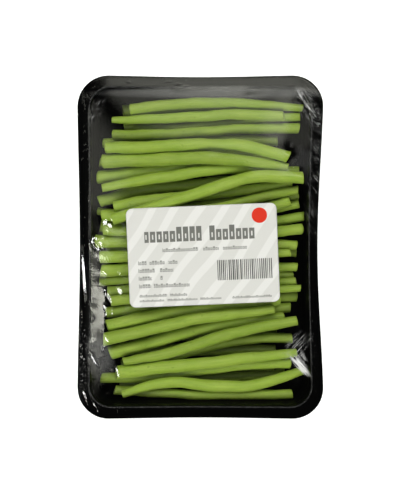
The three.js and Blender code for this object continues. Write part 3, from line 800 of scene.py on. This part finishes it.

# Painted highlights and haze on the film. Middle, half lengths and turn of an ellipse; turn, whiteness,
# length and width, and rareness of its streaks. They are drawn coarser than real glints, so that they show.
FILM_HIGHLIGHTS = [
    # a haze between the far rim and the first bean
    ((12, 84.6), (76, 4), 0, 0, 0.09, (20, 6), 0.3),
    # near right corner: a stroke over the last bean's end, a veil beside it and a fan above it
    ((54.4, -64.8), (9.5, 2.3), -48, -48, 0.75, (9, 1), 0.36),
    ((55.4, -61), (6.5, 3.2), -62, -48, 0.25, (4, 2), 0.4),
    ((52.6, -54.2), (11.5, 6), 48, 48, 0.55, (10, 0.5), 0.55),
    # a haze beside the ends of the beans on the right
    ((55, 46.5), (7, 10), 0, 0, 0.03, (12, 6), 0.3),
    # right rim
    ((62.4, 40), (38, 6), 88, -56, 0.34, (7, 0.4), 0.6),
    ((61.8, -56), (26, 2.6), 92, 60, 0.55, (1.8, 0.5), 0.69),
    # far right corner
    ((60.8, 75), (19, 5), -62, -58, 0.4, (2.4, 0.42), 0.55),
    ((57.2, 79.6), (10, 1.3), -56, -56, 0.5, (9, 0.5), 0.48),
    ((56.4, 73), (9, 2.2), -62, -62, 0.14, (8, 0.5), 0.5),
    # a haze beside the last ends on the left
    ((-55, -59), (8, 13), 20, 0, 0.075, (14, 8), 0.3),
    # left rim and the far left corner
    ((-64.6, -62), (24, 3.2), 90, 62, 0.4, (1.6, 0.8), 0.6),
    ((-57.2, 74), (10, 3.6), 62, 56, 0.2, (4, 0.5), 0.55),
]
spot = add(tree, "TexCoord").outputs["Object"]


def placed(tree, place, turn, size):
    """A pattern's coordinates at a place, turned in degrees and sized, all in millimetres."""
    location, scale = [v * MM for v in place], [v * MM for v in size]
    turned = {"Location": location, "Rotation": (0, 0, math.radians(turn)), "Scale": scale}
    return add(tree, "Mapping", {"Vector": spot, **turned}, vector_type="TEXTURE")


def painted_highlight(tree, place, reach, turn, streak_turn, most, fibre_and_streak, rare):
    """The white share of one painted highlight on the film: an ellipse filled with slanting streaks."""
    patch = placed(tree, (*place, MARK_HEIGHT), turn, (*reach, MARK_DEPTH))
    near = add(tree, "TexGradient", {"Vector": patch}, gradient_type="SPHERICAL").outputs["Fac"]
    inside = add(tree, "MapRange", {"Value": near, "From Max": 0.5})
    streak_noise = placed(tree, (0, 0, 0), streak_turn, (*fibre_and_streak, 1 / MM))
    streak_noise = add(tree, "TexNoise", {"Vector": streak_noise, "Scale": 1.0, "Detail": 1.5})
    drawn = {"Value": streak_noise, "From Min": rare, "From Max": rare + STREAK_SPREAD, "To Max": most}
    return add(tree, "Math", {0: inside, 1: add(tree, "MapRange", drawn)}, operation="MULTIPLY")


highlight_share = 0.0
for mark in FILM_HIGHLIGHTS:
    highlight_share = add(tree, "Math", {0: highlight_share, 1: painted_highlight(tree, *mark)}, operation="ADD")
print(len(FILM_HIGHLIGHTS), "whitened marks")

# %% The line where it bends, and the whole film
BEND_HALF = 0.5
BEND_HIGHLIGHT = 0.07

# Over the rim's inner edge a highlight is painted too, in a line that comes and goes every few millimetres.
from_bead = add(tree, "Attribute", attribute_name="from_bead").outputs["Fac"]
aside = add(tree, "Math", {0: from_bead}, operation="ABSOLUTE")
bend = add(tree, "MapRange", {"Value": aside, "From Max": BEND_HALF, "To Min": BEND_HIGHLIGHT, "To Max": 0.0})
line_gaps = add(tree, "TexNoise", {"Vector": spot, "Scale": 0.4 / MM, "Detail": 2.0})
kept = add(tree, "MapRange", {"Value": line_gaps, "From Min": 0.35, "From Max": 0.6, "To Min": 0.3})
bend_share = add(tree, "Math", {0: bend, 1: kept}, operation="MULTIPLY")
highlight_share = add(tree, "Math", {0: highlight_share, 1: bend_share}, operation="ADD", use_clamp=True)
# The painted highlights are a white diffuse layer mixed into the film.
white = add(tree, "BsdfDiffuse", {"Color": linear("#f4f5f1")})
add(tree, "OutputMaterial", {"Surface": add(tree, "MixShader", {0: highlight_share, 1: clean_film, 2: white})})
print("film:", len(tree.nodes), "nodes")

# %% [markdown]
# ## Wrinkles
#
# A stretched film wrinkles where the pull is uneven: in slanting lines across the long rims, in fans at
# the corners, and in short creases round the ends of the beans. Each wrinkle is a straight ridge with a
# soft cross-section that fades at both ends. They are fractions of a millimetre high and show only in
# what the film mirrors, so they need a finer net than the one that settled.

# %% A finer net
NET_COLUMNS, NET_ROWS = 190, 366
BEAD_PINCH = 0.1  # the film stands up a little where it bends over the rim's inner edge
PINCH_WIDTH = 0.45


def crowded(cells, share):
    """Coordinates from -1 to 1 that lie closer together towards both ends, by a share."""
    return even(cells) + share / math.pi * np.sin(math.pi * even(cells))


fine_u, fine_v = square_grid(crowded(NET_COLUMNS, 0.6), crowded(NET_ROWS, 0.25))
fine_x, fine_y = pack_point(fine_u, fine_v, NET_EDGE)
fine_height = read_grid(film_height, (fine_u + 1) / 2 * FILM_COLUMNS, (fine_v + 1) / 2 * FILM_ROWS)
on_bead = beyond_ring(fine_x, fine_y, BEAD_INSET)

# The pinch is sharp on the right, soft on the left and gone along most of the far end.
softened = np.maximum(ramp(fine_y, 70, 82) * ramp(fine_x, -50, -25), 0.6 * (fine_x < -40))
pinch = BEAD_PINCH * (1 - softened) * np.where(fine_x > 50, 1.8, 1.0)
fine_height += pinch * np.exp(-((on_bead / PINCH_WIDTH) ** 2))
print("net:", fine_u.shape, "points")

# %% Ridges on the film
STEEP = 0.3  # the slope of a wrinkle's sides

# Start x and y, end x and y, half width, and the slope where it is another one.
CREASES = [
    # far right corner
    (54, 86, 61.8, 75, 0.9, 0.3),
    (53.4, 82, 57.6, 77, 0.8, 0.32),
    (56.4, 80, 61.4, 70, 0.8, 0.3),
    (52, 86, 50.4, 80, 0.6, 0.12),
    # near right corner
    (50.5, -62.5, 61, -75, 1.2),
    (51, -58.5, 60, -50.5, 0.5),
    (53, -61.5, 60.5, -54.5, 0.5),
    (54.5, -64, 61, -59, 0.5),
    (49, -55, 57.5, -47, 0.5),
    # near left corner
    (-63.9, -78, -60.4, -87, 1.3, 0.42),
    (-58.4, -85, -54, -92.2, 1.5, 0.38),
    (-57, -84.5, -50, -81, 0.6),
    # far left corner
    (-62, 84, -57, 78.5, 0.5),
    (-60.5, 76, -58.5, 68, 0.5),
    (-64.5, 86, -62.5, 74, 0.5),
    # left rim
    (-63.9, 1.5, -61.8, -30.5, 1.9, 0.42),
    (-65.6, -38, -65.8, -60, 0.3),
    # ends of the beans on the left
    (-58.8, 3.4, -55, -0.8, 1.1, 0.26),
    (-48, 14.2, -43.4, 10.6, 1.1, 0.3),
    (-54, -11.6, -50, -15.4, 1, 0.32),
    (-44.8, -13.2, -40, -16, 1, 0.42),
    (-52.2, -22, -47, -30.4, 1.7, 0.4),
    (-44.4, -20.6, -40.6, -26, 2.6, 0.3),
    (-51.6, -30.6, -50.4, -37.8, 1.5, 0.4),
    (-48, -32.8, -47.2, -37.4, 1.1, 0.42),
    (-51.4, -48.2, -49.2, -53, 1.2, 0.42),
    (-60.4, -57, -55.6, -65.6, 0.9, 0.26),
    (-45.4, -65, -43.2, -73, 1.3, 0.48),
]
wrinkles = np.random.default_rng(11)


def ridge(x0, y0, x1, y1, half_width, steep=STEEP):
    """The height of one straight ridge at the points of the net."""
    length = math.hypot(x1 - x0, y1 - y0)
    ux, uy = (x1 - x0) / length, (y1 - y0) / length
    along = ((fine_x - x0) * ux + (fine_y - y0) * uy) / length
    aside = (fine_y - y0) * ux - (fine_x - x0) * uy
    fade = np.clip(4 * along * (1 - along), 0, 1) ** 0.5
    return steep * fade * np.maximum(half_width - np.hypot(aside, half_width / 6), 0)


def pull_lines(x_in, y_from, y_to, gap, run, lean):
    """Slanting wrinkles across a long rim, from its inner edge outwards."""
    lines = []
    y = y_from
    while y > y_to:
        x = x_in + wrinkles.uniform(-0.4, 1.6) * np.sign(x_in)
        end = x + run * wrinkles.uniform(0.5, 1.1), y + lean * wrinkles.uniform(0.7, 1.2)
        lines.append((x, y, *end, wrinkles.uniform(0.45, 0.65), wrinkles.uniform(0.4, 0.6)))
        y -= gap * wrinkles.uniform(0.6, 1.4)
    return lines


CREASES += pull_lines(62.2, 26, -6, 4.2, 2.6, -4)
CREASES += pull_lines(-64.4, -34, -64, 2.2, -0.9, 1.2)
for crease in CREASES:
    fine_height += ridge(*crease)
print(len(CREASES), "wrinkles, film top", round(fine_height.max(), 2), "mm")

# %% Blisters and dents
BLISTERS = 120  # small ones, where the film doesn't quite touch the rim
DENTS = 36  # shallow ones, in the slack between the left rim and the ends of the beans
DENT_DEPTH = 0.09
WIDE_BLISTER = (-54.5, 5.0, 6.0, 0.65)  # one of air where the row of ends begins


def bump(x, y, size, height):
    """Adds one round bump to the film; a dent is a bump of negative height."""
    away = (fine_x - x) ** 2 + (fine_y - y) ** 2
    fine_height[:] += height * np.exp(-away / size**2)


around_rim = np.argwhere((on_bead > 0.4) & (on_bead < 4.0))
for row, column in around_rim[wrinkles.integers(len(around_rim), size=BLISTERS)]:
    size = wrinkles.uniform(0.25, 0.5)
    bump(fine_x[row, column], fine_y[row, column], size, size * wrinkles.uniform(0.2, 0.6))
for x, y in wrinkles.uniform((-62.5, -80.0), (-49.5, 6.0), size=(DENTS, 2)):
    size = wrinkles.uniform(1.6, 3.0)
    bump(x, y, size, wrinkles.uniform(-DENT_DEPTH, DENT_DEPTH))
bump(*WIDE_BLISTER)
print(BLISTERS, "blisters and", DENTS, "dents, film top", round(fine_height.max(), 2), "mm")

# %% [markdown]
# ## The film's rings
#
# Outside the net, the film goes over the rim, past the lip and in a straight pull to the base's edge, and
# turns in under the tray. These parts are rings round the pack, one mesh with the net.

# %% Build the film
BASE_EDGE, BASE_CORNER = 10.0, 1.6  # inset and height at which it turns in under the base
WALL_RINGS = 7
HEM = 32.0  # how far it reaches under the base

OVER_RIM = [
    (0.65, RIM_TOP + 0.31),
    (0.45, RIM_TOP + 0.26),
    (0.27, RIM_TOP + 0.11),
    (0.14, RIM_TOP - 0.12),
    (0.06, RIM_TOP - 0.5),
    (0.05, RIM_TOP - 1.4),
    (0.05, RIM_TOP - 2.8),
    (0.1, RIM_TOP - 3.7),
]
lip, lip_z = OVER_RIM[-1]
wall_steps = np.linspace(0, 1, WALL_RINGS + 1)[1:]
DOWN_WALL = [(lip + t * (BASE_EDGE - lip), lip_z + t * (BASE_CORNER - lip_z)) for t in wall_steps]
UNDER_BASE = [(BASE_EDGE + 0.5, 0.75), (BASE_EDGE + 1.6, 0.3), (BASE_EDGE + 6, 0.25), (BASE_EDGE + HEM, 0.25)]

film_edge = [edge_of(fine_u), edge_of(fine_v)]
film_rings = [pack_ring(film_edge, inset, z) for inset, z in OVER_RIM + DOWN_WALL + UNDER_BASE]
net_points = np.stack([fine_x, fine_y, fine_height], axis=-1).reshape(-1, 3)
net_edge = edge_of(np.arange(len(net_points)).reshape(fine_x.shape)).tolist()
first, around = len(net_points), len(net_edge)
after = [(k + 1) % around for k in range(around)]
joined = [(net_edge[after[k]], net_edge[k], first + k, first + after[k]) for k in range(around)]
ring_faces = [face[::-1] for face in grid_faces(len(film_rings), around, closed=True, first=first)]
film_faces = grid_faces(NET_ROWS + 1, NET_COLUMNS + 1) + joined + ring_faces
film_points = np.concatenate([net_points] + film_rings)
film = new_piece("stretch_film", film_points, film_faces, [clear_film], "clear_film", "film_wrap")
bead_distance = np.concatenate([on_bead.ravel(), np.full(around * len(film_rings), 9.0)])
film.data.attributes.new("from_bead", "FLOAT", "POINT").data.foreach_set("value", bead_distance)
print("film:", len(film_faces), "faces")

# %% [markdown]
# ## The label
#
# The label is coated paper with rounded corners and a soft sheen. Its print is generic: slanting stripes,
# a red disc, blocks that stand for words and bars that say nothing. All of it is drawn by nodes on the
# mesh's UV map, which gives millimetres from the label's middle.

# %% Paper with stripes
STRIPE_TURN = math.radians(36)

printed_paper, tree = new_material("printed_coated_paper")
on_label = add(tree, "UVMap")
split = add(tree, "SeparateXYZ", {0: on_label})
label_x, label_y = split.outputs[0], split.outputs[1]
slant = add(tree, "Mapping", {"Vector": on_label, "Rotation": (0, 0, STRIPE_TURN)})
wavy = {"Scale": 0.03, "Distortion": 2.6, "Detail": 1.0, "Detail Scale": 0.7}  # a stripe every 10 mm
stripes = add(tree, "TexWave", {"Vector": slant, **wavy}).outputs["Fac"]
stripe_share = add(tree, "MapRange", {"Value": stripes, "From Min": 0.6, "From Max": 0.75})
paper = {"Factor": stripe_share, 6: linear("#d8d8d1"), 7: linear("#e4e4de")}
printed = add(tree, "Mix", paper, data_type="RGBA").outputs[2]

# %% Blocks in place of words
# Rows in millimetres: foot, head, the pitch of the letters, and each word's left and right end.
TITLE = [(8, 16, 3.6, [(-31.5, 0.4), (3.6, 28.8)])]
SMALL_PRINT = [
    (2.6, 4.6, 1.35, [(-22, -2.5), (0.2, 8.6), (11, 24)]),
    (-4, -1.9, 1.4, [(-35.5, -31), (-29.6, -21), (-19, -14)]),
    (-8.2, -6.1, 1.4, [(-35.5, -26.5), (-24, -16.5)]),
    (-12.4, -10.3, 1.4, [(-35.5, -28.5), (-24, -22.4)]),
    (-16.6, -14.5, 1.4, [(-35.5, -29), (-27.5, -8)]),
    (-21.6, -20.2, 0.95, [(-35.5, -20.5), (-18.8, -9.5)]),
    (-24.2, -23, 0.85, [(-35.5, -22), (-20.5, -4), (-2.5, 9), (15, 36.5)]),
]
WAIST = 0.74  # how high a low letter is
HOLE_MIDDLE, HOLE_HALF = 0.37, 0.16  # the height of a letter's hole, as shares of the letter's


def block_row(tree, left, right, foot, head, pitch, waist=1.0):
    """The mask of a row of blocks, the place along it in blocks and each block's chance. By chance a block
    is full height or cut off at the waist."""
    place = add(tree, "Math", {0: label_x, 1: 1 / pitch}, operation="MULTIPLY")
    number = add(tree, "Math", {0: place}, operation="FLOOR")
    chance = add(tree, "TexWhiteNoise", {"W": number}, noise_dimensions="1D")
    cut = {"Value": chance, "From Min": 0.34, "From Max": 0.36, "To Min": head}
    top = add(tree, "MapRange", {**cut, "To Max": foot + waist * (head - foot)})
    mask = add(tree, "Math", {0: label_x, 1: (left + right) / 2, 2: (right - left) / 2}, operation="COMPARE")
    for edge, side in ((foot, "GREATER_THAN"), (top, "LESS_THAN")):
        within = add(tree, "Math", {0: label_y, 1: edge}, operation=side)
        mask = add(tree, "Math", {0: mask, 1: within}, operation="MULTIPLY")
    return mask, place, chance


def printed_words(tree, rows, stem):
    """The mask of rows of words: blocks with gaps, each with a small hole, as in round letters."""
    every = 0.0
    for foot, head, pitch, words in rows:
        middle, half = foot + HOLE_MIDDLE * (head - foot), HOLE_HALF * (head - foot)
        for left, right in words:
            mask, place, _ = block_row(tree, left, right, foot, head, pitch, WAIST)
            across = add(tree, "Math", {0: place}, operation="FRACT")
            letter = add(tree, "Math", {0: across, 1: 0.5, 2: 0.4}, operation="COMPARE")
            hole_x = add(tree, "Math", {0: across, 1: 0.5, 2: 0.4 - stem}, operation="COMPARE")
            hole_y = add(tree, "Math", {0: label_y, 1: middle, 2: half}, operation="COMPARE")
            hole = add(tree, "Math", {0: hole_x, 1: hole_y}, operation="MULTIPLY")
            solid = add(tree, "Math", {0: letter, 1: hole}, operation="SUBTRACT")
            word = add(tree, "Math", {0: mask, 1: solid}, operation="MULTIPLY")
            every = add(tree, "Math", {0: every, 1: word}, operation="MAXIMUM")
    return every


title_mask = printed_words(tree, TITLE, 0.3)
small_mask = printed_words(tree, SMALL_PRINT, 0.27)

# %% Bars, disc and the whole print
CODE = (7.5, 37.5, -14.0, -3.0, 1.05)  # left, right, foot, head and pitch of the bars
DISC = (31.5, 20.5, 0.0)
DISC_RADIUS = 4.2

code_area, code_place, bar_chance = block_row(tree, *CODE)
bar_across = add(tree, "Math", {0: code_place}, operation="FRACT")
bar_width = add(tree, "MapRange", {"Value": bar_chance, "To Min": 0.3, "To Max": 0.75})
bar = add(tree, "Math", {0: bar_across, 1: bar_width}, operation="LESS_THAN")
code_mask = add(tree, "Math", {0: code_area, 1: bar}, operation="MULTIPLY")
from_disc = add(tree, "VectorMath", {0: on_label, 1: DISC}, operation="DISTANCE").outputs["Value"]
disc_mask = add(tree, "Math", {0: from_disc, 1: DISC_RADIUS}, operation="LESS_THAN")

for mask, ink in (
    (title_mask, "#70716a"),
    (small_mask, "#8b8c85"),
    (code_mask, "#50514c"),
    (disc_mask, "#db2b09"),
):
    printed = add(tree, "Mix", {"Factor": mask, 6: printed, 7: linear(ink)}, data_type="RGBA").outputs[2]
fibre_and_streak = add(tree, "TexNoise", {"Scale": 1500.0, "Detail": 2.0})  # 0.05 mm, as a share of the label's width
fibre_bump = add(tree, "Bump", {"Strength": 0.06, "Distance": 0.1 * MM, "Height": fibre_and_streak})
coated = {"Base Color": printed, "Roughness": 0.45, "IOR": 1.48, "Normal": fibre_bump}
add(tree, "OutputMaterial", {"Surface": add(tree, "BsdfPrincipled", coated)})
print("print:", len(tree.nodes), "nodes")

# %% Label sheet
PAPER_THICK = 0.12
PAPER_OFF = 0.1  # above the settled film

paper_u, paper_v = square_grid(even(82), even(54))
flat_x, flat_y = rounded(paper_u, paper_v, LABEL_WIDTH / 2, LABEL_LENGTH / 2, LABEL_CORNER)
paper_x = LABEL_X + flat_x * c - flat_y * s
paper_y = LABEL_Y + flat_x * s + flat_y * c
# Near the middle of the pack the film's net is even.
column = np.interp(paper_x, net_x[FILM_ROWS // 2], np.arange(FILM_COLUMNS + 1))
row = np.interp(paper_y, net_y[:, FILM_COLUMNS // 2], np.arange(FILM_ROWS + 1))
paper_z = read_grid(film_height, column, row) + PAPER_OFF
top = np.stack([paper_x, paper_y, paper_z + PAPER_THICK], axis=-1).reshape(-1, 3)
back = np.stack([paper_x, paper_y, paper_z], axis=-1).reshape(-1, 3)
count = len(top)
cells = grid_faces(*paper_x.shape)
numbers = edge_of(np.arange(count).reshape(paper_x.shape)).tolist()
band = [(a, a + count, b + count, b) for a, b in zip(numbers, numbers[1:] + numbers[:1])]
paper_faces = cells + [[k + count for k in face[::-1]] for face in cells] + band
paper_points = np.concatenate([top, back])
label = new_piece("label_paper_sheet", paper_points, paper_faces, [printed_paper], "label_paper", "label")
flat = np.stack([flat_x.ravel(), flat_y.ravel()], axis=1)[corner_points(label.data) % count]
label.data.uv_layers.new(name="UVMap").data.foreach_set("uv", flat.ravel())
print("label:", len(paper_faces), "faces, top", round(top[:, 2].max(), 2), "mm")

# %% [markdown]
# ## Measure the size
#
# The dressed pack is measured once more; its box is printed, and both boxes are set side by side.

# %% Measure the sizes
size = {"cad": [list(corner) for corner in cad_box], "visual": [list(corner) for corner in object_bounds()]}
print("visual box:", [round(v / MM, 1) for corner in size["visual"] for v in corner])
